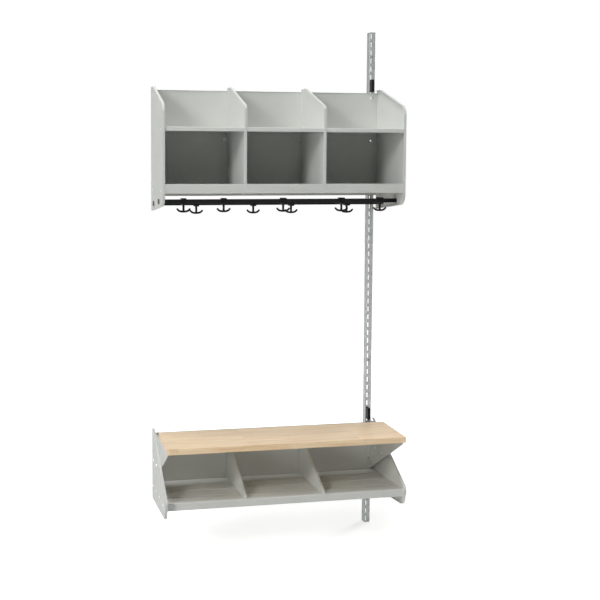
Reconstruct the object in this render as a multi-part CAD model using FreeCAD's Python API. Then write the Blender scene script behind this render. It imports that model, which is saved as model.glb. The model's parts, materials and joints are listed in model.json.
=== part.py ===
import FreeCAD, Part
import math
import os

# Wall-hung cloakroom bay: one slotted wall rail at the right carries a shelf unit with coat
# hooks and, below it, a bench over a shoe rack. Millimetres, +X right, -Y to the front, +Z up.
# The origin is on the wall, on the rail's centre line, at half the rail's height.

Vector = FreeCAD.Vector
ALONG_X = Vector(1, 0, 0)
ALONG_Y = Vector(0, 1, 0)
ALONG_Z = Vector(0, 0, 1)

# Wall rail
slot_rows = 62
slot_pitch = 32.0
slot_width = 4.0
slot_height = 19.0
slot_spread = 11.0
rail_width = 25.0
rail_depth = 28.0
rail_sheet = 2.0
rail_bend = 3.0
wall_hole = 6.5
wall_hole_rows = (28, 10)
spacer_outer = 11.0

# Sheet metal shared by the shelf unit and the bench
bay_inner_width = 891.0
panel_rim = 9.0
panel_sheet = 1.5
shelf_sheet = 1.2
bay_count = 3
fold_clearance = 0.2

# Hangers between the rail and the units, with a lock above each
hanger_plate = 3.0
hanger_width = 26.0
hanger_right_inset = 1.0
hanger_margin = 26.0
lug_clearance = 0.3
lug_neck = 12.0
lug_tooth = 6.0
lug_tooth_thickness = 4.0
lug_rows_apart = 2
lock_width = 11.0
lock_height = 48.0
lock_depth = 26.0
lock_round = 2.5
lock_tongue_height = 6.0
lock_tongue_reach = 4.0

# Shelf unit
upper_lug_row = 8
upper_top_above_lug = 42.0
upper_depth = 300.0
upper_height = 470.0
upper_top_flat = 51.0
upper_slope_drop = 86.0
upper_slope_round = 20.0
upper_end_slope_round = 40.0
upper_top_round = 8.0
upper_foot_rise = 28.0
upper_foot_round = 41.0
back_top_drop = 10.0
back_top_flange = 2.4
mid_shelf_drop = 163.5
mid_shelf_fold = 14.5
mid_shelf_side_fold = 12.0
floor_rise = 70.5
lip_height = 34.0
floor_end_flange = 20.0
floor_rear_fold = 15.0
upper_lock_row = 6
upper_lock_gap = 4.5

# Hook rails and their end caps
hook_rail_width = 30.0
hook_rail_height = 15.0
hook_rail_wall = 1.5
front_rail_rise = 40.0
front_rail_setback = 95.0
rear_rail_rise = 29.0
rear_rail_depth = 68.0
cap_border = 2.0
cap_plate = 1.5
cap_plug_length = 12.0

# Sliding coat hooks, placed as shares of the clear width between the end panels
front_hook_shares = (0.092, 0.26, 0.514, 0.768, 0.939)
rear_hook_shares = (0.173, 0.423, 0.592, 0.845)
hook_slider_length = 16.0
hook_slider_wall = 4.0
hook_slider_round = 1.2
hook_clearance = 0.3
hook_stem = 8.6
hook_prong = 6.4
hook_tip = 7.2
hook_half_span = 23.0
hook_rise = 9.0
hook_drop = 30.0

# Bench
bench_lug_row = 50
seat_top_above_lug = 78.0
seat_thickness = 22.0
seat_rear_gap = 110.0
seat_depth = 232.0
seat_round = 1.6
bracket_sheet = 2.0
bracket_flange = 28.0
bracket_rear_flange = 20.0
bracket_rear_drop = 12.0
bracket_reach = 334.0
bracket_nose = 7.0
bracket_shelf_gap = 2.0
bench_lock_row = 47
bench_lock_gap = 7.0

# Shoe rack under the bench
shoe_top_above_underside = 11.0
shoe_panel_height = 277.0
shoe_top_flat = 14.0
shoe_nose_depth = 354.0
shoe_nose_drop = 181.0
shoe_foot_depth = 330.0
shoe_foot_rise = 28.0
shoe_nose_round = 22.0
shoe_foot_round = 26.0
shelf_rear_depth = 6.0
shelf_rear_rise = 65.5
shelf_slope_degrees = 3.3
slat_names = ("rear", "middle", "front")
slat_width = 72.0
slat_gap = 9.0
slat_fold = 10.0
shoe_lip_depth = 72.0
shoe_lip_height = 27.5
shoe_lip_round = 4.0
shoe_divider_front_gap = 4.0
shoe_divider_nose = 8.0
shoe_divider_top_drop = 34.0
shoe_back_top_drop = 18.0
shoe_back_bottom_drop = 20.0

# Fasteners
rivet_shank = 4.0
rivet_head = 8.0
rivet_head_height = 1.4
rivet_clearance = 0.1
rivet_inset = 45.0
stud_head = 15.0
stud_head_height = 2.0
stud_corner_gap = 10.0
stud_below_shelf = 31.5
bolt_shank = 6.0
bolt_head = 12.0
bolt_head_height = 2.5
bolt_depths = (62.0, 128.0)
bolt_drop = 98.0
seat_screw_shank = 4.0
seat_screw_head = 10.0
seat_screw_length = 16.0
seat_screw_inset = 40.0
joiner_hole = 7.0
joiner_depth = 18.0
joiner_inset = 60.0
overrun = 5.0

# Places worked out from the sizes above
rail_length = slot_rows * slot_pitch
back_plane = rail_depth + hanger_plate
right_inner = rail_width / 2
right_outer = right_inner + panel_rim
right_sheet = right_outer - panel_sheet
left_inner = right_inner - bay_inner_width
left_outer = left_inner - panel_rim
left_sheet = left_outer + panel_sheet
slot_column = -slot_spread / 2
divider_pitch = bay_inner_width / bay_count


def slot_centre(row):
    return rail_length / 2 - slot_pitch / 2 - row * slot_pitch


upper_top = slot_centre(upper_lug_row) + upper_top_above_lug
upper_bottom = upper_top - upper_height
back_top = upper_top - back_top_drop
mid_top = upper_top - mid_shelf_drop
floor_bottom = upper_bottom + floor_rise
floor_top = floor_bottom + shelf_sheet
lip_top = floor_bottom + lip_height
lip_front = upper_depth - panel_sheet
lip_back = lip_front - shelf_sheet
mid_front = lip_back - panel_sheet
front_rail = (upper_depth - front_rail_setback, upper_bottom + front_rail_rise)
rear_rail = (rear_rail_depth, upper_bottom + rear_rail_rise)

seat_top = slot_centre(bench_lug_row) + seat_top_above_lug
seat_under = seat_top - seat_thickness
shoe_top = seat_under + shoe_top_above_underside
shoe_bottom = shoe_top - shoe_panel_height
shelf_rear_top = shoe_bottom + shelf_rear_rise
shelf_slope = math.radians(shelf_slope_degrees)
slat_pitch = slat_width + slat_gap
shoe_lip_rear = shelf_rear_depth + len(slat_names) * slat_pitch * math.cos(shelf_slope)
shoe_lip_front = shoe_lip_rear + shoe_lip_depth * math.cos(shelf_slope)


def divider_left_face(number):
    return left_outer + number * divider_pitch


def shelf_height(depth):
    return shelf_rear_top + (depth - shelf_rear_depth) * math.tan(shelf_slope)


def front(depth):
    return -(back_plane + depth)


def block(x_range, depth_range, z_range):
    size = (x_range[1] - x_range[0], depth_range[1] - depth_range[0], z_range[1] - z_range[0])
    return Part.makeBox(size[0], size[1], size[2], Vector(x_range[0], front(depth_range[1]), z_range[0]))


def rod(diameter, start, direction, length):
    return Part.makeCylinder(diameter / 2, length, start, direction)


def joined(shapes):
    return shapes[0].fuse(shapes[1:]).removeSplitter()


def drilled(shape, holes):
    return shape.cut(Part.makeCompound(holes))


# Outlines: corners are (across, up, radius), listed anticlockwise
def outline_edges(corners, place):
    ends = []
    for index, (across, up, radius) in enumerate(corners):
        corner = Vector(across, up, 0)
        before = Vector(corners[index - 1][0], corners[index - 1][1], 0).sub(corner).normalize()
        following = corners[(index + 1) % len(corners)]
        after = Vector(following[0], following[1], 0).sub(corner).normalize()
        half_angle = before.getAngle(after) / 2
        setback = radius / math.tan(half_angle)
        bisector = before.add(after).normalize()
        nearest = bisector.multiply(radius / math.sin(half_angle) - radius)
        ends.append((corner.add(before.multiply(setback)), corner.add(nearest),
                     corner.add(after.multiply(setback)), radius))
    edges = []
    for index, (start, middle, end, radius) in enumerate(ends):
        if radius > 0:
            arc = Part.Arc(place(start), place(middle), place(end))
            edges.append(arc.toShape())
        next_start = ends[(index + 1) % len(ends)][0]
        edges.append(Part.LineSegment(place(end), place(next_start)).toShape())
    return edges


def side_plate(corners, x_start, x_end):
    edges = outline_edges(corners, lambda point: Vector(x_start, front(point.x), point.y))
    return Part.Face(Part.Wire(edges)).extrude(Vector(x_end - x_start, 0, 0))


# Moves each edge of an anticlockwise outline inwards by its own amount
def inset_corners(corners, amounts):
    lines = []
    for index, (across, up, radius) in enumerate(corners):
        following = corners[(index + 1) % len(corners)]
        along = Vector(following[0] - across, following[1] - up, 0).normalize()
        inward = Vector(-along.y, along.x, 0)
        start = Vector(across, up, 0).add(inward.multiply(amounts[index]))
        lines.append((start, along))
    moved = []
    for index, corner in enumerate(corners):
        first_start, first_along = lines[index - 1]
        second_start, second_along = lines[index]
        between = second_start.sub(first_start)
        cross = first_along.x * second_along.y - first_along.y * second_along.x
        distance = (between.x * second_along.y - between.y * second_along.x) / cross
        radius = max(corner[2] - max(amounts[index], 0), 0)
        moved.append((first_start.x + first_along.x * distance,
                      first_start.y + first_along.y * distance, radius))
    return moved


# A folded panel: a flat sheet with a rim on every edge but the open rear one, which comes last
def folded_panel(corners, sheet_face, rim_face, sheet):
    inwards = math.copysign(sheet, rim_face - sheet_face)
    beyond = math.copysign(overrun, rim_face - sheet_face)
    amounts = [sheet] * (len(corners) - 1) + [-overrun]
    hollow = side_plate(inset_corners(corners, amounts), sheet_face + inwards, rim_face + beyond)
    return side_plate(corners, sheet_face, rim_face).cut(hollow)


# Fasteners, each with the clearance hole that it goes through
def hole_for(shank, start, direction, grip):
    begin = start.sub(Vector(direction).multiply(overrun))
    return rod(shank + 2 * rivet_clearance, begin, direction, grip + 2 * overrun)


def stud(start, direction, grip, shank=rivet_shank, head=stud_head, head_height=stud_head_height):
    head_start = start.sub(Vector(direction).multiply(head_height))
    solid = joined([rod(head, head_start, direction, head_height), rod(shank, start, direction, grip)])
    return solid


def rivet(start, direction, grip, shank=rivet_shank, head=rivet_head, head_height=rivet_head_height):
    far = start.add(Vector(direction).multiply(grip))
    one_head = stud(start, direction, grip, shank, head, head_height)
    return joined([one_head, rod(head, far, direction, head_height)])


# Wall rail: a channel with its web to the front, two columns of slots and four screw holes
def make_wall_rail():
    half = rail_width / 2
    outer = ((-half, -rail_depth, rail_bend), (half, -rail_depth, rail_bend), (half, 0, 0), (-half, 0, 0))
    foot = -rail_length / 2
    amounts = [rail_sheet, rail_sheet, -overrun, rail_sheet]
    place = lambda point: Vector(point.x, point.y, foot)
    solid = Part.Face(Part.Wire(outline_edges(outer, place))).extrude(Vector(0, 0, rail_length))
    inner_edges = outline_edges(inset_corners(outer, amounts), place)
    solid = solid.cut(Part.Face(Part.Wire(inner_edges)).extrude(Vector(0, 0, rail_length)))
    cutters = []
    for row in range(slot_rows):
        for side in (-1, 1):
            corner = Vector(side * slot_spread / 2 - slot_width / 2, -rail_depth - overrun,
                            slot_centre(row) - slot_height / 2)
            cutters.append(Part.makeBox(slot_width, rail_sheet + 2 * overrun, slot_height, corner))
    for place_z in wall_hole_heights():
        start = Vector(0, -rail_depth - overrun, place_z)
        cutters.append(rod(wall_hole, start, ALONG_Y, rail_sheet + 2 * overrun))
    return drilled(solid, cutters)


def wall_hole_heights():
    return [side * rows * slot_pitch for rows in wall_hole_rows for side in (1, -1)]


def make_rail_spacers():
    sleeves = []
    length = rail_depth - rail_sheet
    for place_z in wall_hole_heights():
        start = Vector(0, -length, place_z)
        sleeves.append(rod(spacer_outer, start, ALONG_Y, length).cut(rod(wall_hole, start, ALONG_Y, length)))
    return Part.makeCompound(sleeves)


# Hanger: a plate on the rail's face whose lugs drop behind the web at two slots
def hanger_x_range():
    right = right_inner - hanger_right_inset
    return (right - hanger_width, right)


def make_hanger(first_row, bottom, stud_places):
    top = slot_centre(first_row) + hanger_margin
    pieces = [block(hanger_x_range(), (-hanger_plate, 0), (bottom, top))]
    half = slot_width / 2 - lug_clearance
    x_range = (slot_column - half, slot_column + half)
    neck_depth = hanger_plate + rail_sheet + lug_clearance
    for row in (first_row, first_row + lug_rows_apart):
        seat = slot_centre(row) - slot_height / 2
        tooth_end = neck_depth + lug_tooth_thickness
        pieces.append(block(x_range, (-tooth_end, -hanger_plate), (seat, seat + lug_neck)))
        pieces.append(block(x_range, (-tooth_end, -neck_depth), (seat - lug_tooth, seat)))
    holes = [hole_for(rivet_shank, place, ALONG_Y, shelf_sheet + hanger_plate) for place in stud_places]
    return drilled(joined(pieces), holes)


def make_lock(row, bottom):
    x_range = (slot_column - lock_width / 2, slot_column + lock_width / 2)
    face = -hanger_plate
    body = block(x_range, (face, face + lock_depth), (bottom, bottom + lock_height))
    outer_edges = [edge for edge in body.Edges if edge.BoundBox.YMax < front(face)]
    body = body.makeFillet(lock_round, outer_edges)
    half = slot_width / 2 - lug_clearance
    tongue_bottom = max(bottom, slot_centre(row) - lock_tongue_height)
    tongue = block((slot_column - half, slot_column + half),
                   (face - rail_sheet - lock_tongue_reach, face),
                   (tongue_bottom, tongue_bottom + lock_tongue_height))
    return joined([body, tongue])


# Shelf unit
def upper_corners(rear, bottom, front_depth, foot_rise, foot_round, slope_round):
    return ((rear, bottom, 0), (front_depth, bottom + foot_rise, foot_round),
            (front_depth, upper_top - upper_slope_drop, slope_round),
            (upper_top_flat, upper_top, upper_top_round), (rear, upper_top, 0))


# A block round a hook rail's centre line, larger than the rail by the given border
def rail_block(rail, x_range, border):
    depth, centre = rail
    half_width = hook_rail_width / 2 + border
    half_height = hook_rail_height / 2 + border
    return block(x_range, (depth - half_width, depth + half_width),
                 (centre - half_height, centre + half_height))


def shelf_end_places():
    depths = (rivet_inset, upper_depth - rivet_inset)
    heights = (mid_top - mid_shelf_side_fold / 2, floor_bottom + floor_end_flange / 2)
    return [(depth, height) for depth in depths for height in heights]


def upper_joiner_places():
    return [(joiner_depth, upper_top - joiner_inset), (joiner_depth, upper_bottom + joiner_inset)]


def make_upper_panel(sheet_face, rim_face, joiner_places):
    corners = upper_corners(0, upper_bottom, upper_depth, upper_foot_rise, upper_foot_round,
                            upper_end_slope_round)
    panel = folded_panel(corners, sheet_face, rim_face, panel_sheet)
    span = (min(sheet_face, rim_face) - overrun, max(sheet_face, rim_face) + overrun)
    holes = [rail_block(rail, span, fold_clearance) for rail in (front_rail, rear_rail)]
    for depth, height in shelf_end_places():
        holes.append(hole_for(rivet_shank, Vector(span[0], front(depth), height), ALONG_X, span[1] - span[0]))
    for depth, height in joiner_places:
        holes.append(rod(joiner_hole, Vector(span[0], front(depth), height), ALONG_X, span[1] - span[0]))
    return drilled(panel, holes)


def make_upper_divider(number):
    left = divider_left_face(number)
    corners = upper_corners(shelf_sheet, floor_top, lip_back, 0, 0, upper_slope_round)
    panel = folded_panel(corners, left, left + panel_rim, panel_sheet)
    holes = []
    for depth in (rivet_inset, upper_depth - rivet_inset):
        start = Vector(left - shelf_sheet, front(depth), mid_top - mid_shelf_side_fold / 2)
        holes.append(hole_for(rivet_shank, start, ALONG_X, panel_sheet))
        holes.append(hole_for(rivet_shank, floor_rivet_place(number, depth), -ALONG_Z, panel_sheet))
    return drilled(panel, holes)


def floor_rivet_place(number, depth):
    x = divider_left_face(number) + (panel_rim + panel_sheet) / 2
    return Vector(x, front(depth), floor_top + panel_sheet)


def stud_height():
    return mid_top - stud_below_shelf


def back_stud_places():
    faces = [divider_left_face(number) for number in range(1, bay_count)]
    return [Vector(face - stud_corner_gap, front(shelf_sheet), stud_height()) for face in faces]


def upper_hanger_places():
    middle = (hanger_x_range()[0] + hanger_x_range()[1]) / 2
    heights = (stud_height(), slot_centre(upper_lug_row) + hanger_margin / 2)
    return [Vector(middle, front(shelf_sheet), height) for height in heights]


def make_upper_back_panel():
    sheet = block((left_sheet, right_sheet), (0, shelf_sheet), (floor_bottom - floor_rear_fold, back_top))
    flange_start = back_top - shelf_sheet
    pieces = [sheet]
    for number in range(bay_count):
        x_range = bay_x_range(number)
        pieces.append(block(x_range, (shelf_sheet, back_top_flange), (flange_start, back_top)))
    places = back_stud_places() + upper_hanger_places()
    holes = [hole_for(rivet_shank, place, ALONG_Y, shelf_sheet) for place in places]
    return drilled(joined(pieces), holes)


def bay_x_range(number):
    start = left_sheet if number == 0 else divider_left_face(number) + panel_sheet
    end = right_sheet if number == bay_count - 1 else divider_left_face(number + 1)
    return (start, end)


def make_bottom_shelf():
    x_range = (left_sheet, right_sheet)
    pieces = [block(x_range, (shelf_sheet, lip_front), (floor_bottom, floor_top)),
              block(x_range, (lip_back, lip_front), (floor_bottom, lip_top)),
              block(x_range, (shelf_sheet, 2 * shelf_sheet), (floor_bottom - floor_rear_fold, floor_top))]
    flange_z = (floor_bottom, floor_bottom + floor_end_flange)
    pieces.append(block((left_sheet, left_sheet + shelf_sheet), (shelf_sheet, lip_front), flange_z))
    pieces.append(block((right_sheet - shelf_sheet, right_sheet), (shelf_sheet, lip_front), flange_z))
    holes = []
    for depth in (rivet_inset, upper_depth - rivet_inset):
        height = floor_bottom + floor_end_flange / 2
        for face in (left_sheet, right_sheet - shelf_sheet):
            holes.append(hole_for(rivet_shank, Vector(face, front(depth), height), ALONG_X, shelf_sheet))
        for number in range(1, bay_count):
            holes.append(hole_for(rivet_shank, floor_rivet_place(number, depth), -ALONG_Z, panel_sheet))
    return drilled(joined(pieces), holes)


def make_middle_shelf(number):
    start, end = bay_x_range(number)
    depths = (shelf_sheet, mid_front)
    side_bottom = mid_top - mid_shelf_side_fold
    pieces = [block((start, end), depths, (mid_top - shelf_sheet, mid_top)),
              block((start, end), (mid_front - shelf_sheet, mid_front), (mid_top - mid_shelf_fold, mid_top)),
              block((start, end), (shelf_sheet, 2 * shelf_sheet), (side_bottom, mid_top)),
              block((start, start + shelf_sheet), depths, (side_bottom, mid_top)),
              block((end - shelf_sheet, end), depths, (side_bottom, mid_top))]
    holes = []
    for depth in (rivet_inset, upper_depth - rivet_inset):
        for face in (start, end - shelf_sheet):
            place = Vector(face, front(depth), mid_top - mid_shelf_side_fold / 2)
            holes.append(hole_for(rivet_shank, place, ALONG_X, shelf_sheet))
    return drilled(joined(pieces), holes)


def make_end_rivets():
    grip = panel_sheet + shelf_sheet
    rivets = []
    for depth, height in shelf_end_places():
        rivets.append(rivet(Vector(left_outer, front(depth), height), ALONG_X, grip))
        rivets.append(rivet(Vector(right_outer, front(depth), height), -ALONG_X, grip))
    return Part.makeCompound(rivets)


def make_divider_rivets():
    rivets = []
    for number in range(1, bay_count):
        for depth in (rivet_inset, upper_depth - rivet_inset):
            x = divider_left_face(number) - shelf_sheet
            start = Vector(x, front(depth), mid_top - mid_shelf_side_fold / 2)
            rivets.append(rivet(start, ALONG_X, panel_sheet + 2 * shelf_sheet))
            rivets.append(rivet(floor_rivet_place(number, depth), -ALONG_Z, panel_sheet + shelf_sheet,
                                head=panel_rim - 2 * panel_sheet))
    return Part.makeCompound(rivets)


def make_back_studs():
    studs = [rivet(place, ALONG_Y, shelf_sheet, head=stud_head) for place in back_stud_places()]
    studs += [stud(place, ALONG_Y, shelf_sheet + hanger_plate) for place in upper_hanger_places()]
    return Part.makeCompound(studs)


# Hook rails, end caps and hooks
def make_hook_rail(rail):
    x_range = (left_outer, right_outer)
    return rail_block(rail, x_range, 0).cut(rail_block(rail, x_range, -hook_rail_wall))


def make_end_caps():
    caps = []
    plug_x = ((left_outer, left_outer + cap_plug_length), (right_outer - cap_plug_length, right_outer))
    plate_x = ((left_outer - cap_plate, left_outer), (right_outer, right_outer + cap_plate))
    for rail in (front_rail, rear_rail):
        for plug_range, plate_range in zip(plug_x, plate_x):
            plate = rail_block(rail, plate_range, cap_border)
            plug = rail_block(rail, plug_range, -hook_rail_wall - fold_clearance)
            caps.append(joined([plate, plug]))
    return Part.makeCompound(caps)


def make_hook(share, rail):
    depth, centre = rail
    x_middle = left_inner + share * bay_inner_width
    x_range = (x_middle - hook_slider_length / 2, x_middle + hook_slider_length / 2)
    slider = rail_block(rail, x_range, hook_clearance + hook_slider_wall)
    long_edges = [edge for edge in slider.Edges if edge.BoundBox.XLength > hook_slider_length / 2]
    slider = slider.makeFillet(hook_slider_round, long_edges)
    slider = slider.cut(rail_block(rail, x_range, hook_clearance))
    prong_foot = centre - hook_rail_height / 2 - hook_drop
    stem_top = centre - hook_rail_height / 2 - hook_clearance
    stem = rod(hook_stem, Vector(x_middle, front(depth), prong_foot), ALONG_Z, stem_top - prong_foot)
    bend = (hook_half_span ** 2 + hook_rise ** 2) / (2 * hook_rise)
    sweep = math.degrees(math.asin(hook_half_span / bend))
    bend_centre = Vector(x_middle, front(depth), prong_foot + bend)
    section = Part.Face(Part.Wire(Part.Circle(Vector(x_middle, front(depth), prong_foot), ALONG_X,
                                              hook_prong / 2).toShape()))
    section.rotate(bend_centre, ALONG_Y, sweep)
    prongs = section.revolve(bend_centre, ALONG_Y, -2 * sweep)
    tips = []
    for side in (-1, 1):
        tip_centre = Vector(x_middle + side * hook_half_span, front(depth), prong_foot + hook_rise)
        tips.append(Part.makeSphere(hook_tip / 2, tip_centre))
    return joined([slider, stem, prongs] + tips)


# Bench
def make_seat_board():
    x_range = (left_inner, right_outer)
    board = block(x_range, (seat_rear_gap, seat_rear_gap + seat_depth), (seat_under, seat_top))
    edges = [edge for edge in board.Edges if edge.BoundBox.ZMin > seat_under or edge.BoundBox.ZLength == 0]
    board = board.makeFillet(seat_round, [edge for edge in edges if edge.BoundBox.XLength > 0])
    holes = [rod(seat_screw_shank + 2 * rivet_clearance, place, ALONG_Z, seat_screw_length + rivet_clearance)
             for place in seat_screw_places()]
    return drilled(board, holes)


def seat_screw_places():
    inset = bracket_flange / 2 + bracket_sheet / 2
    depths = (seat_rear_gap + seat_screw_inset, bracket_reach - seat_screw_inset)
    return [Vector(x, front(depth), seat_under)
            for x in (left_inner + inset, right_inner - inset) for depth in depths]


def bracket_bolt_places(face):
    return [Vector(face, front(depth), seat_under - bolt_drop) for depth in bolt_depths]


def bracket_bottom():
    return shelf_rear_top + bracket_shelf_gap


def bracket_stud_places(face, inwards):
    x = face + inwards * (bracket_rear_flange + bracket_sheet) / 2
    heights = (seat_under - rivet_inset, bracket_bottom() + rivet_inset)
    return [Vector(x, front(shelf_sheet + bracket_sheet), height) for height in heights]


def make_seat_bracket(face, inwards):
    rear = shelf_sheet
    corners = ((rear, bracket_bottom(), 0), (bracket_reach, seat_under - bracket_nose, 0),
               (bracket_reach, seat_under, 0), (rear, seat_under, 0))
    web = side_plate(corners, face, face + inwards * bracket_sheet)
    flange_x = sorted((face, face + inwards * bracket_flange))
    rear_x = sorted((face, face + inwards * bracket_rear_flange))
    top_flange = block(flange_x, (seat_rear_gap, bracket_reach), (seat_under - bracket_sheet, seat_under))
    rear_flange = block(rear_x, (rear, rear + bracket_sheet),
                        (bracket_bottom(), seat_under - bracket_rear_drop))
    holes = [hole_for(bolt_shank, place, ALONG_X, bracket_sheet) for place in bracket_bolt_places(face)]
    for place in bracket_stud_places(face, inwards):
        holes.append(hole_for(rivet_shank, place, ALONG_Y, bracket_sheet))
    for place in seat_screw_places():
        holes.append(hole_for(seat_screw_shank, place, -ALONG_Z, bracket_sheet))
    return drilled(joined([web, top_flange, rear_flange]), holes)


def make_seat_screws():
    screws = []
    for place in seat_screw_places():
        start = place.sub(Vector(0, 0, bracket_sheet))
        screws.append(stud(start, ALONG_Z, bracket_sheet + seat_screw_length, seat_screw_shank,
                           seat_screw_head))
    return Part.makeCompound(screws)


def make_bracket_bolts():
    grip = bracket_sheet + panel_rim
    bolts = []
    for face, direction in ((left_inner + bracket_sheet, -ALONG_X), (right_inner - bracket_sheet, ALONG_X)):
        for place in bracket_bolt_places(face):
            bolts.append(rivet(place, direction, grip, bolt_shank, bolt_head, bolt_head_height))
    return Part.makeCompound(bolts)


def make_bracket_studs():
    studs = []
    grip = bracket_sheet + shelf_sheet
    for place in bracket_stud_places(left_inner, 1):
        studs.append(rivet(place, ALONG_Y, grip))
    for place in bracket_stud_places(right_inner, -1):
        studs.append(stud(place, ALONG_Y, grip + hanger_plate, head=rivet_head,
                          head_height=rivet_head_height))
    return Part.makeCompound(studs)


# Shoe rack
def shoe_corners():
    return ((0, shoe_bottom, 0), (shoe_foot_depth, shoe_bottom + shoe_foot_rise, shoe_foot_round),
            (shoe_nose_depth, shoe_top - shoe_nose_drop, shoe_nose_round),
            (shoe_top_flat, shoe_top, 0), (0, shoe_top, 0))


def slat_rear(number):
    return shelf_rear_depth + number * slat_pitch * math.cos(shelf_slope)


def slat_middle(number):
    depth = slat_rear(number) + slat_width / 2 * math.cos(shelf_slope)
    return (depth, shelf_height(depth) - (slat_fold + shelf_sheet) / 2)


def shelf_rivet_places():
    places = [slat_middle(number) for number in range(len(slat_names))]
    lip_middle = (shoe_lip_rear + shoe_lip_front) / 2
    return places + [(lip_middle, shelf_height(lip_middle) - shoe_lip_height / 2)]


def shoe_joiner_places():
    height = shoe_bottom + shelf_rear_rise / 2
    return [(joiner_depth, height), (joiner_depth + joiner_inset, height)]


def make_shoe_panel(sheet_face, rim_face, joiner_places):
    panel = folded_panel(shoe_corners(), sheet_face, rim_face, panel_sheet)
    start_x = min(sheet_face, rim_face)
    holes = []
    for depth, height in shelf_rivet_places():
        holes.append(hole_for(rivet_shank, Vector(start_x, front(depth), height), ALONG_X, panel_rim))
    for place in bracket_bolt_places(start_x):
        holes.append(hole_for(bolt_shank, place, ALONG_X, panel_rim))
    for depth, height in joiner_places:
        start = Vector(start_x - overrun, front(depth), height)
        holes.append(rod(joiner_hole, start, ALONG_X, panel_rim + 2 * overrun))
    return drilled(panel, holes)


def make_shoe_back_panel():
    z_range = (shelf_rear_top - shoe_back_bottom_drop, shoe_top - shoe_back_top_drop)
    sheet = block((left_sheet, right_sheet), (0, shelf_sheet), z_range)
    places = bracket_stud_places(left_inner, 1) + bracket_stud_places(right_inner, -1)
    return drilled(sheet, [hole_for(rivet_shank, place, ALONG_Y, shelf_sheet) for place in places])


# An open-bottomed channel with closed ends, its top rear edge at depth 0 and height 0
def shelf_channel(width, fold, radius):
    x_range = (left_sheet, right_sheet)
    top = Vector(x_range[0], 0, 0)
    length = x_range[1] - x_range[0]
    outer = Part.makeBox(length, width, fold, top.add(Vector(0, -width, -fold)))
    if radius > 0:
        bends = [edge for edge in outer.Edges
                 if edge.BoundBox.ZMin > -fold / 2 and edge.BoundBox.XLength > width]
        outer = outer.makeFillet(radius, bends)
    hollow = Part.makeBox(length - 2 * shelf_sheet, width - 2 * shelf_sheet, fold,
                          top.add(Vector(shelf_sheet, shelf_sheet - width, -fold - shelf_sheet)))
    if radius > shelf_sheet:
        bends = [edge for edge in hollow.Edges
                 if edge.BoundBox.ZMin > -fold and edge.BoundBox.XLength > width]
        hollow = hollow.makeFillet(radius - shelf_sheet, bends)
    return outer.cut(hollow)


def divider_slat_places(number):
    x = divider_left_face(number) + (panel_rim + panel_sheet) / 2
    into_slat = Vector(0, -math.sin(shelf_slope), -math.cos(shelf_slope))
    places = []
    for slat in (0, len(slat_names) - 1):
        depth = slat_middle(slat)[0]
        places.append(Vector(x, front(depth), shelf_height(depth) + panel_sheet / math.cos(shelf_slope)))
    return places, into_slat


def make_slat(number):
    slat = shelf_channel(slat_width, slat_fold, slat_fold / 4)
    slat.rotate(Vector(0, 0, 0), ALONG_X, -shelf_slope_degrees)
    slat.translate(Vector(0, front(slat_rear(number)), shelf_height(slat_rear(number))))
    holes = []
    depth, height = slat_middle(number)
    for face in (left_sheet, right_sheet - shelf_sheet):
        holes.append(hole_for(rivet_shank, Vector(face, front(depth), height), ALONG_X, shelf_sheet))
    for divider in range(1, bay_count):
        places, direction = divider_slat_places(divider)
        holes += [hole_for(rivet_shank, place, direction, panel_sheet) for place in places]
    return drilled(slat, holes)


def make_shoe_lip():
    lip = shelf_channel(shoe_lip_depth, shoe_lip_height, shoe_lip_round)
    lip.rotate(Vector(0, 0, 0), ALONG_X, -shelf_slope_degrees)
    lip.translate(Vector(0, front(shoe_lip_rear), shelf_height(shoe_lip_rear)))
    depth, height = shelf_rivet_places()[-1]
    holes = [hole_for(rivet_shank, Vector(face, front(depth), height), ALONG_X, shelf_sheet)
             for face in (left_sheet, right_sheet - shelf_sheet)]
    return drilled(lip, holes)


def make_shoe_divider(number):
    left = divider_left_face(number)
    end = shoe_lip_front - shoe_divider_front_gap
    corners = ((shelf_sheet, shelf_height(shelf_sheet), 0), (end, shelf_height(end), 0),
               (end, shelf_height(end) + shoe_divider_nose, 0),
               (shelf_sheet, seat_under - shoe_divider_top_drop, 0))
    panel = folded_panel(corners, left, left + panel_rim, panel_sheet)
    places, direction = divider_slat_places(number)
    return drilled(panel, [hole_for(rivet_shank, place, direction, panel_sheet) for place in places])


def make_shelf_rivets():
    grip = panel_sheet + shelf_sheet
    rivets = []
    for depth, height in shelf_rivet_places():
        rivets.append(rivet(Vector(left_outer, front(depth), height), ALONG_X, grip))
        rivets.append(rivet(Vector(right_outer, front(depth), height), -ALONG_X, grip))
    for number in range(1, bay_count):
        places, direction = divider_slat_places(number)
        for place in places:
            rivets.append(rivet(place, direction, grip, head=panel_rim - 2 * panel_sheet))
    return Part.makeCompound(rivets)


nodes = {"wall_rail": make_wall_rail(), "rail_spacers": make_rail_spacers()}

upper_hanger_bottom = stud_height() - hanger_margin
nodes["upper_hanger"] = make_hanger(upper_lug_row, upper_hanger_bottom, upper_hanger_places())
nodes["upper_lock"] = make_lock(upper_lock_row, back_top + upper_lock_gap)
nodes["upper_left_panel"] = make_upper_panel(left_outer, left_inner, upper_joiner_places())
nodes["upper_right_panel"] = make_upper_panel(right_outer, right_inner, [])
nodes["upper_back_panel"] = make_upper_back_panel()
nodes["bottom_shelf"] = make_bottom_shelf()
for number, side in enumerate(("left", "centre", "right")):
    nodes["middle_shelf_" + side] = make_middle_shelf(number)
for number, side in enumerate(("left", "right"), 1):
    nodes["upper_divider_" + side] = make_upper_divider(number)
    nodes["shoe_divider_" + side] = make_shoe_divider(number)
nodes["upper_end_rivets"] = make_end_rivets()
nodes["upper_divider_rivets"] = make_divider_rivets()
nodes["upper_back_studs"] = make_back_studs()

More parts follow.
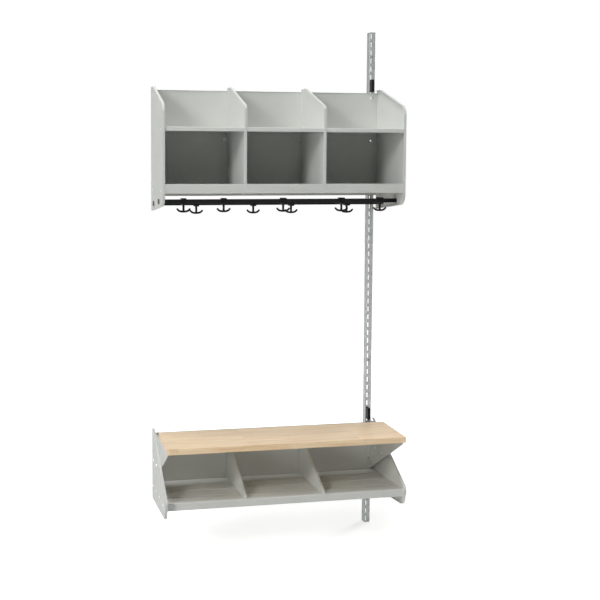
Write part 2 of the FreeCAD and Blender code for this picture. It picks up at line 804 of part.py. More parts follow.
nodes["hook_rail_front"] = make_hook_rail(front_rail)
nodes["hook_rail_rear"] = make_hook_rail(rear_rail)
nodes["hook_rail_caps"] = make_end_caps()
for number, share in enumerate(front_hook_shares, 1):
    nodes["front_hook_%d" % number] = make_hook(share, front_rail)
for number, share in enumerate(rear_hook_shares, 1):
    nodes["rear_hook_%d" % number] = make_hook(share, rear_rail)

nodes["seat_board"] = make_seat_board()
nodes["seat_bracket_left"] = make_seat_bracket(left_inner, 1)
nodes["seat_bracket_right"] = make_seat_bracket(right_inner, -1)
nodes["seat_screws"] = make_seat_screws()
nodes["bracket_bolts"] = make_bracket_bolts()
nodes["bracket_studs"] = make_bracket_studs()
bench_hanger_bottom = bracket_bottom()
bench_hanger_studs = bracket_stud_places(right_inner, -1)
nodes["bench_hanger"] = make_hanger(bench_lug_row, bench_hanger_bottom, bench_hanger_studs)
nodes["bench_lock"] = make_lock(bench_lock_row, seat_under + bench_lock_gap)
nodes["shoe_left_panel"] = make_shoe_panel(left_outer, left_inner, shoe_joiner_places())
nodes["shoe_right_panel"] = make_shoe_panel(right_outer, right_inner, [])
nodes["shoe_back_panel"] = make_shoe_back_panel()
for number, name in enumerate(slat_names):
    nodes["shoe_slat_" + name] = make_slat(number)
nodes["shoe_front_lip"] = make_shoe_lip()
nodes["shoe_rivets"] = make_shelf_rivets()

os.makedirs("parts", exist_ok=True)
for name, shape in nodes.items():
    shape.exportStep("parts/%s.step" % name)
    facts = (name, len(shape.Solids), shape.isValid(), shape.Volume)
    print("%-22s solids %3d  valid %s  volume %10.1f" % facts)
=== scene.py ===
import bpy
import json
import math
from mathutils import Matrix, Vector


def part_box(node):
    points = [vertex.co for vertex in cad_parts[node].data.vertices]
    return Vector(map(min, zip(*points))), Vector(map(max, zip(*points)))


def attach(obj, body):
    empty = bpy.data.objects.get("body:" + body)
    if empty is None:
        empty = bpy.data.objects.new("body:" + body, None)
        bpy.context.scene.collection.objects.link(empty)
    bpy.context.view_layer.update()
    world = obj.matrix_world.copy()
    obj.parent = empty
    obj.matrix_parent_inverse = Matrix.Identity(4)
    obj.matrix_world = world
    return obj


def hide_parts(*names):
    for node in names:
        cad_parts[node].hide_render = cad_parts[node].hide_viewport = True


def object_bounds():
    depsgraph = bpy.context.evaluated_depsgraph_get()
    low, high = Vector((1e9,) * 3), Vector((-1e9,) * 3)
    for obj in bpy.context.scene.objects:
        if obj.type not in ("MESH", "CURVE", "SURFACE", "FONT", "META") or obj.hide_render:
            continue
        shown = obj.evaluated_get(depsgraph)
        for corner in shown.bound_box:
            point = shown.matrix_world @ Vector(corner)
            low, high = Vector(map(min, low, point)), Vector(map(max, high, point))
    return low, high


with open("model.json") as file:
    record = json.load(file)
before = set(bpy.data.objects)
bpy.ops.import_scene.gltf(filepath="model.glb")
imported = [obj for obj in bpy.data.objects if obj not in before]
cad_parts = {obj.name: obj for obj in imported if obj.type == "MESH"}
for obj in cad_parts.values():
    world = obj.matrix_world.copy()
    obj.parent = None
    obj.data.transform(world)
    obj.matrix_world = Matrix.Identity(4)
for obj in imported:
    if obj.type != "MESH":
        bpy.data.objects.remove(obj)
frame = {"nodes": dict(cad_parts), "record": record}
cadLow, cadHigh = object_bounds()
nodes = frame["nodes"]
slotOf = {part["node"]: part["material_slot"] for part in frame["record"]["subparts"]}
mm = 0.001
print("frame loaded,", len(nodes), "nodes")


# Colour and node helpers
def linear(hexColour):
    channels = [int(hexColour[i:i + 2], 16) / 255 for i in (1, 3, 5)]
    curved = [c / 12.92 if c <= 0.04045 else ((c + 0.055) / 1.055) ** 2.4 for c in channels]
    return (*curved, 1.0)


def setInputs(tree, node, values=(), links=()):
    for name, value in dict(values).items():
        node.inputs[name].default_value = value
    for name, source in dict(links).items():
        tree.links.new(source, node.inputs[name])


def addNode(tree, kind, settings=(), values=(), links=(), stops=()):
    node = tree.nodes.new(kind)
    for name, value in dict(settings).items():
        setattr(node, name, value)
    setInputs(tree, node, values, links)
    for extra in stops[2:]:    # a new ramp has a stop at each end, and more go between them
        node.color_ramp.elements.new(0.5)
    for number, (position, hexColour) in enumerate(stops):
        node.color_ramp.elements[number].position = position
        node.color_ramp.elements[number].color = linear(hexColour)
    return node


def startMaterial(name):
    material = bpy.data.materials.new(name)
    material.use_nodes = True
    tree = material.node_tree
    tree.nodes.clear()
    shader = addNode(tree, "ShaderNodeBsdfPrincipled")
    addNode(tree, "ShaderNodeOutputMaterial", links={"Surface": shader.outputs["BSDF"]})
    place = addNode(tree, "ShaderNodeTexCoord").outputs["Object"]
    return material, tree, shader, place


rangeIn, rangeOut = ("From Min", "From Max"), ("To Min", "To Max")    # a Map Range node's sockets

# Powder coat on folded sheet steel: even light grey, half matt, with a fine orange peel
powderCoat = {"tones": ((0.3, "#CED0CC"), (0.7, "#D3D5D1")),    # thin coat, full coat
              "cloudMm": 160, "peelMm": 3.0, "peelHeightMm": 0.02, "peelStrength": 0.5,
              "gloss": (0.5, 0.62), "specular": 0.14}


def makePowderCoat():
    material, tree, shader, place = startMaterial("powderCoatLightGrey")
    cloud = addNode(tree, "ShaderNodeTexNoise", links={"Vector": place},
                    values={"Scale": 1000 / powderCoat["cloudMm"], "Detail": 3})
    tone = addNode(tree, "ShaderNodeValToRGB", links={"Fac": cloud.outputs["Fac"]},
                   stops=powderCoat["tones"])
    # The peel is drawn coarser than the real 1 mm, so that it shows
    peel = addNode(tree, "ShaderNodeTexNoise", links={"Vector": place},
                   values={"Scale": 1000 / powderCoat["peelMm"], "Detail": 2})
    gloss = addNode(tree, "ShaderNodeMapRange", values=zip(rangeOut, powderCoat["gloss"]),
                    links={"Value": peel.outputs["Fac"]})
    bump = addNode(tree, "ShaderNodeBump", links={"Height": peel.outputs["Fac"]},
                   values={"Strength": powderCoat["peelStrength"],
                           "Distance": powderCoat["peelHeightMm"] * mm})
    setInputs(tree, shader, values={"Specular IOR Level": powderCoat["specular"]},
              links={"Base Color": tone.outputs["Color"], "Roughness": gloss.outputs["Result"],
                     "Normal": bump.outputs["Normal"]})
    return material


# Galvanised strip: bright zinc with crystal patches and faint rolling lines along its length
galvanised = {"tones": ((0.35, "#868989"), (0.95, "#A0A2A2")),    # dull, bright
              "spangleMm": 12, "spangleShare": 0.5, "rollLineMm": 1.6, "rollStretch": (1, 1, 0.02),
              "gloss": (0.34, 0.46)}


def makeGalvanised():
    material, tree, shader, place = startMaterial("galvanisedSteel")
    spangle = addNode(tree, "ShaderNodeTexVoronoi", links={"Vector": place},
                      values={"Scale": 1000 / galvanised["spangleMm"]})
    patch = addNode(tree, "ShaderNodeSeparateColor", links={"Color": spangle.outputs["Color"]})
    stretch = addNode(tree, "ShaderNodeMapping", values={"Scale": galvanised["rollStretch"]},
                      links={"Vector": place})
    lines = addNode(tree, "ShaderNodeTexNoise", links={"Vector": stretch.outputs["Vector"]},
                    values={"Scale": 1000 / galvanised["rollLineMm"], "Detail": 2})
    blend = addNode(tree, "ShaderNodeMath", settings={"operation": "MULTIPLY_ADD"},
                    values={1: galvanised["spangleShare"]},
                    links={0: patch.outputs["Red"], 2: lines.outputs["Fac"]})
    tone = addNode(tree, "ShaderNodeValToRGB", links={"Fac": blend.outputs["Value"]},
                   stops=galvanised["tones"])
    gloss = addNode(tree, "ShaderNodeMapRange", values=zip(rangeOut, galvanised["gloss"]),
                    links={"Value": patch.outputs["Green"]})
    setInputs(tree, shader, values={"Metallic": 1.0},
              links={"Base Color": tone.outputs["Color"], "Roughness": gloss.outputs["Result"]})
    return material


# Bright zinc plate on fasteners: silvery, a little clouded
zincPlate = {"tones": ((0, "#CDCFCF"), (1, "#E8E8E5")), "cloudMm": 4, "gloss": 0.13}    # cloudy, bright


def makeZincPlate():
    material, tree, shader, place = startMaterial("brightZincPlate")
    cloud = addNode(tree, "ShaderNodeTexNoise", links={"Vector": place},
                    values={"Scale": 1000 / zincPlate["cloudMm"], "Detail": 3})
    tone = addNode(tree, "ShaderNodeValToRGB", links={"Fac": cloud.outputs["Fac"]},
                   stops=zincPlate["tones"])
    setInputs(tree, shader, values={"Metallic": 1.0, "Roughness": zincPlate["gloss"]},
              links={"Base Color": tone.outputs["Color"]})
    return material


# Black finishes: satin paint on the drawn tubes, spark-grained nylon on the moulded hooks and clips
satinBlack = {"name": "satinBlackPaint", "tones": ((0.35, "#0E0F10"), (0.75, "#161718")),
              "grainMm": 2.5, "grainHeightMm": 0.01, "grainStrength": 0.6,
              "gloss": (0.32, 0.44), "specular": 0.16}
blackNylon = {"name": "mouldedBlackNylon", "tones": ((0.35, "#0C0C0D"), (0.75, "#141415")),
              "grainMm": 1.2, "grainHeightMm": 0.03, "grainStrength": 0.6,
              "gloss": (0.4, 0.56), "specular": 0.14}


def makeBlack(finish):
    material, tree, shader, place = startMaterial(finish["name"])
    grain = addNode(tree, "ShaderNodeTexNoise", links={"Vector": place},
                    values={"Scale": 1000 / finish["grainMm"], "Detail": 3})
    tone = addNode(tree, "ShaderNodeValToRGB", links={"Fac": grain.outputs["Fac"]},
                   stops=finish["tones"])
    gloss = addNode(tree, "ShaderNodeMapRange", values=zip(rangeOut, finish["gloss"]),
                    links={"Value": grain.outputs["Fac"]})
    bump = addNode(tree, "ShaderNodeBump", links={"Height": grain.outputs["Fac"]},
                   values={"Strength": finish["grainStrength"],
                           "Distance": finish["grainHeightMm"] * mm})
    setInputs(tree, shader, values={"Specular IOR Level": finish["specular"]},
              links={"Base Color": tone.outputs["Color"], "Roughness": gloss.outputs["Result"],
                     "Normal": bump.outputs["Normal"]})
    return material


# Edge-glued beech under clear lacquer: pale staves, grain and short flecks along them, and darker end
# grain deepened with painted shade on the board's ends
beech = {"tones": ((0.2, "#DAB78C"), (0.42, "#E9CBA3"), (0.62, "#F2DBB9")),    # grain line, warm, pale
         "staveMm": 46, "staveLengthMm": 420, "staveStagger": 0.37, "staveTones": (0.93, 1.06),
         "logShift": (3.1, 1.7, 0.9),
         "grainMm": 9, "grainStretch": (0.045, 1, 0.8), "grainHeightMm": 0.05, "grainStrength": 0.3,
         "fleck": "#C9A376", "fleckMm": 2.2, "fleckStretch": (0.16, 1, 1), "fleckFrom": (0.62, 0.75),
         "fleckShare": 0.5,
         "glue": "#DAB78C", "glueMm": 0.2, "glueShare": 0.6,
         # end faces: real end grain colour, darkened further as painted shade
         "endGrainAndShade": "#CDA982", "endShadeFrom": (0.6, 0.9), "endShadeShare": 0.75,
         "gloss": (0.34, 0.5), "specular": 0.25, "lacquer": 0.12, "lacquerGloss": 0.16}


def makeBeech():
    material, tree, shader, place = startMaterial("lacqueredBeech")
    staves = addNode(tree, "ShaderNodeTexBrick", links={"Vector": place},
                     settings={"offset": beech["staveStagger"], "offset_frequency": 2},
                     values={"Color1": (0, 0, 0, 1), "Color2": (1, 1, 1, 1), "Mortar": (0.5, 0.5, 0.5, 1),
                             "Scale": 1, "Mortar Size": beech["glueMm"] * mm,
                             "Brick Width": beech["staveLengthMm"] * mm,
                             "Row Height": beech["staveMm"] * mm})
    shift = addNode(tree, "ShaderNodeVectorMath", settings={"operation": "MULTIPLY_ADD"},
                    values={1: beech["logShift"]},    # each stave is cut from its own log
                    links={0: staves.outputs["Color"], 2: place})
    along = addNode(tree, "ShaderNodeMapping", values={"Scale": beech["grainStretch"]},
                    links={"Vector": shift.outputs["Vector"]})
    grain = addNode(tree, "ShaderNodeTexNoise", links={"Vector": along.outputs["Vector"]},
                    values={"Scale": 1000 / beech["grainMm"], "Detail": 6, "Roughness": 0.55,
                            "Distortion": 0.4})
    tone = addNode(tree, "ShaderNodeValToRGB", links={"Fac": grain.outputs["Fac"]},
                   stops=beech["tones"])
    staveTone = addNode(tree, "ShaderNodeMapRange", values=zip(rangeOut, beech["staveTones"]),
                        links={"Value": staves.outputs["Color"]})
    stained = addNode(tree, "ShaderNodeVectorMath", settings={"operation": "SCALE"},
                      links={0: tone.outputs["Color"], "Scale": staveTone.outputs["Result"]})

    # Flecks (drawn twice as wide as real ones), glue lines and the end grain with its painted shade are
    # laid over the staves in turn
    short = addNode(tree, "ShaderNodeMapping", values={"Scale": beech["fleckStretch"]},
                    links={"Vector": shift.outputs["Vector"]})
    dashes = addNode(tree, "ShaderNodeTexNoise", links={"Vector": short.outputs["Vector"]},
                     values={"Scale": 1000 / beech["fleckMm"], "Detail": 1})
    fleckMask = addNode(tree, "ShaderNodeMapRange", links={"Value": dashes.outputs["Fac"]},
                        values={**dict(zip(rangeIn, beech["fleckFrom"])), "To Max": beech["fleckShare"]})
    glueMask = addNode(tree, "ShaderNodeMath", settings={"operation": "MULTIPLY"},
                       values={1: beech["glueShare"]}, links={0: staves.outputs["Fac"]})
    # Faces turned along X, the board's ends, get a darker colour: end grain and painted shade together
    normal = addNode(tree, "ShaderNodeNewGeometry").outputs["Normal"]
    facing = addNode(tree, "ShaderNodeSeparateXYZ", links={"Vector": normal})
    endways = addNode(tree, "ShaderNodeMath", settings={"operation": "ABSOLUTE"},
                      links={0: facing.outputs["X"]})
    endShadeMask = addNode(tree, "ShaderNodeMapRange", links={"Value": endways.outputs["Value"]},
                      values={**dict(zip(rangeIn, beech["endShadeFrom"])), "To Max": beech["endShadeShare"]})
    colour = stained.outputs["Vector"]
    for mask, over in ((fleckMask.outputs["Result"], "fleck"), (glueMask.outputs["Value"], "glue"),
                       (endShadeMask.outputs["Result"], "endGrainAndShade")):
        layer = addNode(tree, "ShaderNodeMix", settings={"data_type": "RGBA"},
                        values={7: linear(beech[over])}, links={"Factor": mask, 6: colour})
        colour = layer.outputs[2]

    gloss = addNode(tree, "ShaderNodeMapRange", values=zip(rangeOut, beech["gloss"]),
                    links={"Value": grain.outputs["Fac"]})
    bump = addNode(tree, "ShaderNodeBump", links={"Height": grain.outputs["Fac"]},
                   values={"Strength": beech["grainStrength"], "Distance": beech["grainHeightMm"] * mm})
    setInputs(tree, shader,
              values={"Coat Weight": beech["lacquer"], "Coat Roughness": beech["lacquerGloss"],
                      "Specular IOR Level": beech["specular"]},
              links={"Base Color": colour, "Roughness": gloss.outputs["Result"],
                     "Normal": bump.outputs["Normal"]})
    return material


finishes = {"panel_grey": makePowderCoat(), "rail_zinc": makeGalvanised(),
            "fastener_zinc": makeZincPlate(), "hook_rail_black": makeBlack(satinBlack),
            "black_plastic": makeBlack(blackNylon), "seat_wood": makeBeech()}
print("materials ready,", len(finishes), "finishes")

near = 0.1 * mm    # places closer than this count as one
square = 0.99    # a normal with this much along an axis faces along it


# Modelling helpers: selection is always cleared first, and faces and edges are picked by place
def pick(piece):
    if bpy.context.mode != "OBJECT":
        bpy.ops.object.mode_set(mode="OBJECT")
    bpy.ops.object.select_all(action="DESELECT")
    piece.select_set(True)
    bpy.context.view_layer.objects.active = piece


def editSome(piece, kind, chosen):
    pick(piece)
    bpy.context.tool_settings.mesh_select_mode = (False, kind == "edges", kind == "faces")
    bpy.ops.object.mode_set(mode="EDIT")
    bpy.ops.mesh.select_all(action="DESELECT")
    bpy.ops.object.mode_set(mode="OBJECT")
    if kind == "faces":
        for face in piece.data.polygons:
            face.select = chosen(face.center, face.normal)
    else:
        spots = piece.data.vertices
        for edge in piece.data.edges:
            edge.select = chosen(spots[edge.vertices[0]].co, spots[edge.vertices[1]].co)
    bpy.ops.object.mode_set(mode="EDIT")


def editDone():
    bpy.ops.object.mode_set(mode="OBJECT")


def bevelPicked(widthMm, steps):
    bpy.ops.mesh.bevel(offset=widthMm * mm, segments=steps, affect="EDGES")
    editDone()


def applyModifier(piece, name, kind, **settings):
    pick(piece)
    modifier = piece.modifiers.new(name, kind)
    for setting, value in settings.items():
        setattr(modifier, setting, value)
    bpy.ops.object.modifier_apply(modifier=name)


def newBlock(name, low, high):
    bpy.ops.object.select_all(action="DESELECT")
    low, high = Vector(low), Vector(high)
    bpy.ops.mesh.primitive_cube_add(size=1, location=(low + high) / 2, scale=high - low)
    piece = bpy.context.active_object
    piece.name = name
    bpy.ops.object.transform_apply(location=True, rotation=True, scale=True)
    return piece


def smoothed(piece, degrees=40):
    pick(piece)
    bpy.ops.object.shade_smooth_by_angle(angle=math.radians(degrees))
    applyModifier(piece, "flatsFirst", "WEIGHTED_NORMAL", keep_sharp=True, weight=50)


def dressed(piece, slot, body, *standsFor):
    piece.data.materials.clear()
    piece.data.materials.append(finishes[slot])
    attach(piece, body)
    if standsFor:
        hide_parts(*standsFor)


# Folded sheet and other rigid pieces: the CAD form, its edges rounded as folding and coating leave them
softEdges = {"sheet": (0.4, 2), "fastener": (0.8, 3), "tube": (2.2, 4), "cap": (0.9, 3),    # mm, steps
             "sharpDegrees": 50, "mergeMm": 0.005, "flatDegrees": 0.5}
shelfFold = {"roundMm": 2.4, "steps": 4, "reachMm": 6, "bendDegrees": 40}
studHead = {"riseMm": 1.7, "ringMm": 1.5, "stepsMm": (0.63, 0.48, 0.33, 0.2)}    # from rim to middle
sheetNodes = [name for name in nodes if slotOf[name] == "panel_grey"]
fastenerNodes = [name for name in nodes if slotOf[name] == "fastener_zinc"]


# A fold shows as an outer edge whose two faces both reach well past the sheet's own thickness
def roundFolds(piece):
    editSome(piece, "edges", lambda a, b: False)
    editDone()
    spots = piece.data.vertices
    sides = {}
    for face in piece.data.polygons:
        for key in face.edge_keys:
            sides.setdefault(key, []).append(face)
    bend = math.radians(shelfFold["bendDegrees"])
    for edge in piece.data.edges:
        start, end = [spots[i].co for i in edge.vertices]
        along = (end - start).normalized()
        faces = sides[edge.key]
        reach = [max((spots[i].co - start).cross(along).length for i in face.vertices)
                 for face in faces]
        if len(faces) == 2 and min(reach) > shelfFold["reachMm"] * mm:
            outer = (faces[1].center - start).dot(faces[0].normal) < 0
            edge.select = outer and faces[0].normal.angle(faces[1].normal) > bend
    low = [min(spot.co[axis] for spot in spots) for axis in range(3)]
    high = [max(spot.co[axis] for spot in spots) for axis in range(3)]
    bpy.ops.object.mode_set(mode="EDIT")
    bevelPicked(shelfFold["roundMm"], shelfFold["steps"])
    for spot in piece.data.vertices:    # a fold wider than the sheet is thick would stick out at its ends
        spot.co = [min(max(spot.co[axis], low[axis]), high[axis]) for axis in range(3)]


def domeHeads(piece):
    face = min(spot.co.y for spot in piece.data.vertices)
    editSome(piece, "faces", lambda spot, normal: normal.y < -square and spot.y < face + near)
    bpy.ops.transform.translate(value=(0, studHead["riseMm"] * mm, 0))
    for step in studHead["stepsMm"]:
        bpy.ops.mesh.inset(thickness=studHead["ringMm"] * mm, depth=step * mm)
    editDone()


def softCopy(nodeName, edge, folded=False, domed=False):
    piece = bpy.data.objects.new(nodeName + "_finished", nodes[nodeName].data.copy())
    bpy.context.scene.collection.objects.link(piece)
    pick(piece)
    bpy.ops.mesh.customdata_custom_splitnormals_clear()
    bpy.ops.object.mode_set(mode="EDIT")
    bpy.ops.mesh.select_all(action="SELECT")
    bpy.ops.mesh.remove_doubles(threshold=softEdges["mergeMm"] * mm)
    bpy.ops.mesh.dissolve_limited(angle_limit=math.radians(softEdges["flatDegrees"]))
    editDone()
    if folded:
        roundFolds(piece)
    if domed:
        domeHeads(piece)
    edgeMm, steps = softEdges[edge]
    applyModifier(piece, "softEdge", "BEVEL", width=edgeMm * mm, segments=steps, limit_method="ANGLE",
                  angle_limit=math.radians(softEdges["sharpDegrees"]), use_clamp_overlap=True)
    smoothed(piece, softEdges["sharpDegrees"])
    dressed(piece, slotOf[nodeName], "root", nodeName)


for name in sheetNodes:
    softCopy(name, "sheet", folded=name.startswith("middle_shelf"))
for name in fastenerNodes:
    softCopy(name, "fastener", domed=name == "upper_back_studs")
for name in ("hook_rail_front", "hook_rail_rear"):
    softCopy(name, "tube")
softCopy("hook_rail_caps", "cap")
print("sheet metal finished,", len(sheetNodes), "folded pieces")


# Bench board: solid beech with eased edges and rounded corners
seat = {"cornerMm": 6, "cornerSteps": 6, "edgeMm": 1.6, "edgeSteps": 5}


def makeSeat():
    low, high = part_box("seat_board")
    board = newBlock("bench_board", low, high)
    editSome(board, "edges", lambda a, b: abs(a.z - b.z) > near)
    bevelPicked(seat["cornerMm"], seat["cornerSteps"])
    editSome(board, "edges", lambda a, b: abs(a.z - b.z) < near)
    bevelPicked(seat["edgeMm"], seat["edgeSteps"])
    smoothed(board)
    dressed(board, "seat_wood", "root", "seat_board")


makeSeat()
print("bench board ready")


# Coat hooks: a moulded slider round the rail, with a flared stem down to two upturned prongs
hook = {"sliderMm": 16, "wallMm": 4, "clearMm": 0.3, "cornerMm": 3.2, "cornerSteps": 5, "rimMm": 0.5,
        "rimDegrees": 60, "flareMm": 12, "neckMm": 8.8, "neckBelowMm": 5, "stemMm": 8.2, "dropMm": 29.4,
        "prongMm": 7.6, "endMm": 6.8, "tipMm": 7.4, "spanMm": 22.9, "riseMm": 8.6,
        "prongShape": ((-1, 1), (-0.74, 0.36), (-0.37, 0.05), (0, 0),
                       (0.37, 0.05), (0.74, 0.36), (1, 1)),    # shares of the span and the rise
        "voxelMm": 0.55, "filletRounds": 6, "smoothDegrees": 45}


def newTube(name, points, diametersMm):
    bpy.ops.object.select_all(action="DESELECT")
    bpy.ops.curve.primitive_bezier_curve_add(location=(0, 0, 0))
    tube = bpy.context.active_object
    tube.name = name
    spline = tube.data.splines[0]
    spline.bezier_points.add(len(points) - len(spline.bezier_points))
    for spot, place, diameterMm in zip(spline.bezier_points, points, diametersMm):
        spot.co = place
        spot.handle_left_type = spot.handle_right_type = "AUTO"
        spot.radius = diameterMm / 2
    tube.data.bevel_depth = mm
    tube.data.bevel_resolution = 6
    tube.data.resolution_u = 16
    tube.data.use_fill_caps = True
    bpy.ops.object.convert(target="MESH")
    return bpy.context.active_object


def makeSlider(centre, half):
    slider = newBlock("slider", centre - half, centre + half)
    editSome(slider, "faces", lambda spot, normal: abs(normal.x) > square)
    bpy.ops.mesh.inset(thickness=hook["wallMm"] * mm)
    bpy.ops.mesh.bridge_edge_loops()    # joins the two inner faces into the bore
    editDone()
    editSome(slider, "edges", lambda a, b: abs(a.x - b.x) > near and abs(a.y - centre.y) > half.y - near
             and abs(a.z - centre.z) > half.z - near)
    bevelPicked(hook["cornerMm"], hook["cornerSteps"])
    applyModifier(slider, "mouldedRim", "BEVEL", width=hook["rimMm"] * mm, segments=2,
                  limit_method="ANGLE", angle_limit=math.radians(hook["rimDegrees"]))
    return slider


def makeAnchor(x, y, stemTop, foot):
    span, rise = hook["spanMm"] * mm, hook["riseMm"] * mm
    stem = newTube("stem", [(x, y, stemTop), (x, y, stemTop - hook["neckBelowMm"] * mm),
                            (x, y, (stemTop + foot) / 2), (x, y, foot)],
                   [hook["flareMm"], hook["neckMm"], hook["stemMm"], hook["stemMm"]])
    prongs = newTube("prongs", [(x + out * span, y, foot + up * rise) for out, up in hook["prongShape"]],
                     [hook["endMm"] if up == 1 else hook["prongMm"] for out, up in hook["prongShape"]])
    parts = [stem, prongs]
    for side in (-1, 1):
        bpy.ops.object.select_all(action="DESELECT")
        bpy.ops.mesh.primitive_uv_sphere_add(segments=20, ring_count=12, radius=hook["tipMm"] * mm / 2,
                                             location=(x + side * span, y, foot + rise))
        parts.append(bpy.context.active_object)
        bpy.ops.object.transform_apply(location=True, rotation=True, scale=True)
    pick(prongs)
    for part in parts:
        part.select_set(True)
    bpy.ops.object.join()
    applyModifier(prongs, "oneSkin", "REMESH", mode="VOXEL", voxel_size=hook["voxelMm"] * mm)
    applyModifier(prongs, "mouldedFillet", "SMOOTH", factor=0.5, iterations=hook["filletRounds"])
    return prongs


def makeHook(nodeName, railName):
    railLow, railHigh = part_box(railName)
    hookLow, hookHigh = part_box(nodeName)
    centre = Vector(((hookLow.x + hookHigh.x) / 2, (railLow.y + railHigh.y) / 2,
                     (railLow.z + railHigh.z) / 2))
    grow = (hook["clearMm"] + hook["wallMm"]) * mm
    half = Vector((hook["sliderMm"] * mm / 2, (railHigh.y - railLow.y) / 2 + grow,
                   (railHigh.z - railLow.z) / 2 + grow))
    slider = makeSlider(centre, half)
    under = centre.z - (railHigh.z - railLow.z) / 2
    stemTop = under - (hook["clearMm"] + hook["wallMm"] / 2) * mm
    anchor = makeAnchor(centre.x, centre.y, stemTop, under - hook["dropMm"] * mm)
    applyModifier(slider, "anchorOn", "BOOLEAN", operation="UNION", solver="EXACT", object=anchor)
    bpy.data.objects.remove(anchor)
    slider.name = nodeName + "_moulded"
    smoothed(slider, hook["smoothDegrees"])
    return slider


def copiedPiece(piece, name, move):
    pick(piece)
    bpy.ops.object.duplicate()
    copy = bpy.context.active_object
    copy.name = name
    bpy.ops.transform.translate(value=move)
    bpy.ops.object.transform_apply(location=True, rotation=True, scale=True)
    return copy


hookNames = sorted(name for name in nodes if "_hook_" in name)
firstHook = makeHook(hookNames[0], "hook_rail_front")
firstPlace = sum(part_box(hookNames[0]), Vector()) / 2
madeHooks = {hookNames[0]: firstHook}
for name in hookNames[1:]:
    place = sum(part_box(name), Vector()) / 2
    madeHooks[name] = copiedPiece(firstHook, name + "_moulded", place - firstPlace)
for name, piece in madeHooks.items():
    dressed(piece, "black_plastic", name, name)
print("coat hooks ready,", len(madeHooks), "hooks")


# Locking clips: moulded blocks with a ribbed thumb recess and a tongue in the rail's slot
clip = {"edgeMm": 1.8, "edgeSteps": 4, "borderMm": 1.8, "recessMm": 1.0, "ribs": 5, "ribMm": 1.4,
        "ribEdgeMm": 0.35, "ribOverlapMm": 0.2, "tongueEdgeMm": 0.5, "tongueOverlapMm": 0.3}


def makeClip(nodeName):
    low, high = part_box(nodeName)
    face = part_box("wall_rail")[0].y
    body = newBlock(nodeName + "_moulded", low, (high.x, face, high.z))
    editSome(body, "edges", lambda a, b: min(a.y, b.y) < low.y + near)
    bevelPicked(clip["edgeMm"], clip["edgeSteps"])
    editSome(body, "faces", lambda spot, normal: normal.y < -square)
    bpy.ops.mesh.inset(thickness=clip["borderMm"] * mm)
    bpy.ops.mesh.extrude_region_move(TRANSFORM_OT_translate={"value": (0, clip["recessMm"] * mm, 0)})
    editDone()
    parts = []
    inset = (clip["edgeMm"] + clip["borderMm"]) * mm
    pitch = (high.z - low.z - 2 * inset) / clip["ribs"]
    overlap, halfRib = clip["ribOverlapMm"] * mm, clip["ribMm"] * mm / 2
    ribRoot = low.y + (clip["recessMm"] + 2 * clip["ribOverlapMm"]) * mm
    for number in range(clip["ribs"]):
        middle = low.z + inset + (number + 0.5) * pitch
        rib = newBlock("rib", (low.x + inset - overlap, low.y + overlap, middle - halfRib),
                       (high.x - inset + overlap, ribRoot, middle + halfRib))
        applyModifier(rib, "ribEdge", "BEVEL", width=clip["ribEdgeMm"] * mm, segments=2)
        parts.append(rib)
    spots = [spot.co for spot in nodes[nodeName].data.vertices if spot.co.y > face + near]
    tongueRoot = face - clip["tongueOverlapMm"] * mm
    tongue = newBlock("tongue", (min(s.x for s in spots), tongueRoot, min(s.z for s in spots)),
                      (max(s.x for s in spots), high.y, max(s.z for s in spots)))
    applyModifier(tongue, "tongueEdge", "BEVEL", width=clip["tongueEdgeMm"] * mm, segments=2)
    parts.append(tongue)
    for part in parts:
        applyModifier(body, "moulded", "BOOLEAN", operation="UNION", solver="EXACT", object=part)
        bpy.data.objects.remove(part)
    smoothed(body)
    dressed(body, "black_plastic", "root", nodeName)


for name in ("upper_lock", "bench_lock"):
    makeClip(name)
print("locking clips ready")

# What is left of the CAD shows as it is, in its own finish
for name, node in nodes.items():
    if not node.hide_render:
        node.data.materials.clear()
        node.data.materials.append(finishes[slotOf[name]])


# Stage, light and camera
stage = {"floorSize": 30, "floor": "#F4F4F2", "roughness": 0.9, "fade": (0.7, 2.0), "glow": (0.66, 1.0)}
lamps = {"keySoftbox": {"at": (-6.2, -4.5, 3.3), "size": 2.2, "power": 215},
         "lowSoftbox": {"at": (-7.6, -5.6, 0.2), "size": 2.4, "power": 105},
         "topSoftbox": {"at": (-1.35, -0.9, 4.0), "size": 1.6, "power": 95},
         "overheadSoftbox": {"at": (-0.9, -2.8, 7.0), "size": 3.0, "power": 90},
         "rearFill": {"at": (5.0, 4.0, 2.5), "size": 3.0, "power": 160}}
lampAim = (-0.43, -0.15, 0)
skyLight = {"colour": "#FFFFFF", "strength": 0.05}
view = {"at": (-1.38332, -3.70836, 0.43121), "turn": 0.1845, "tilt": 0.0681, "lens": 57.888,
        "sensor": 36, "shift": (0.16667, -0.1)}


# One where a ray sees the place itself, directly or in a gloss, and zero where it only brings light
def seenRays(tree):
    rays = addNode(tree, "ShaderNodeLightPath")
    glossy = addNode(tree, "ShaderNodeMath", settings={"operation": "MAXIMUM"},
                     links={0: rays.outputs["Is Glossy Ray"], 1: rays.outputs["Is Transmission Ray"]})
    seen = addNode(tree, "ShaderNodeMath", settings={"operation": "MAXIMUM"},
                   links={0: rays.outputs["Is Camera Ray"], 1: glossy.outputs["Value"]})
    return seen.outputs["Value"]


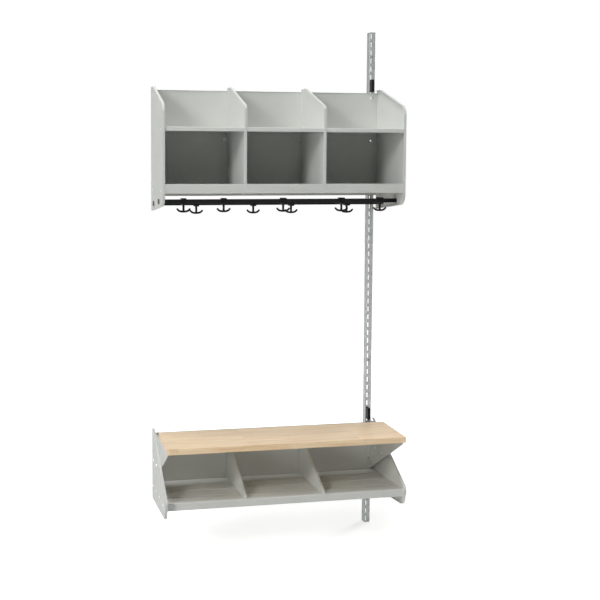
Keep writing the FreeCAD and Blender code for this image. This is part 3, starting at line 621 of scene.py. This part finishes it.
def makeFloor():
    bpy.ops.object.select_all(action="DESELECT")
    bpy.ops.mesh.primitive_plane_add(size=stage["floorSize"], location=(0, 0, cadLow.z))
    floor = bpy.context.active_object
    floor.name = "paleFloor"
    material, tree, shader, place = startMaterial("paleFloor")
    away = addNode(tree, "ShaderNodeVectorMath", settings={"operation": "LENGTH"}, links={0: place})
    glow = addNode(tree, "ShaderNodeMapRange", links={"Value": away.outputs["Value"]},
                   values=zip(rangeIn + rangeOut, stage["fade"] + stage["glow"]))
    shown = addNode(tree, "ShaderNodeMath", settings={"operation": "MULTIPLY"},
                    links={0: seenRays(tree), 1: glow.outputs["Result"]})
    setInputs(tree, shader, links={"Emission Strength": shown.outputs["Value"]},
              values={"Base Color": linear(stage["floor"]), "Roughness": stage["roughness"],
                      "Emission Color": (1, 1, 1, 1)})
    floor.data.materials.append(material)


def makeSky():
    world = bpy.data.worlds.new("studioWhite")
    bpy.context.scene.world = world
    world.use_nodes = True
    tree = world.node_tree
    tree.nodes.clear()
    dim = addNode(tree, "ShaderNodeBackground",
                  values={"Color": linear(skyLight["colour"]), "Strength": skyLight["strength"]})
    white = addNode(tree, "ShaderNodeBackground", values={"Color": (1, 1, 1, 1), "Strength": 1})
    mixed = addNode(tree, "ShaderNodeMixShader", links={0: seenRays(tree), 1: dim.outputs["Background"],
                                                        2: white.outputs["Background"]})
    addNode(tree, "ShaderNodeOutputWorld", links={"Surface": mixed.outputs["Shader"]})


def makeLamp(name, lamp):
    bpy.ops.object.select_all(action="DESELECT")
    bpy.ops.object.light_add(type="AREA", location=lamp["at"])
    light = bpy.context.active_object
    light.name = name
    light.data.shape = "DISK"
    light.data.size = lamp["size"]
    light.data.energy = lamp["power"]
    light.visible_camera = False
    beam = Vector(lampAim) - Vector(lamp["at"])
    light.rotation_euler = beam.to_track_quat("-Z", "Y").to_euler()


def makeCamera():
    bpy.ops.object.select_all(action="DESELECT")
    bpy.ops.object.camera_add(location=view["at"],
                              rotation=(math.pi / 2 - view["tilt"], 0, -view["turn"]))
    camera = bpy.context.active_object
    camera.data.lens = view["lens"]
    camera.data.sensor_width = view["sensor"]
    camera.data.shift_x, camera.data.shift_y = view["shift"]
    bpy.context.scene.camera = camera


makeFloor()
makeSky()
for name, lamp in lamps.items():
    makeLamp(name, lamp)
makeCamera()
bpy.context.scene.view_settings.view_transform = "Standard"
print("stage, light and camera ready")
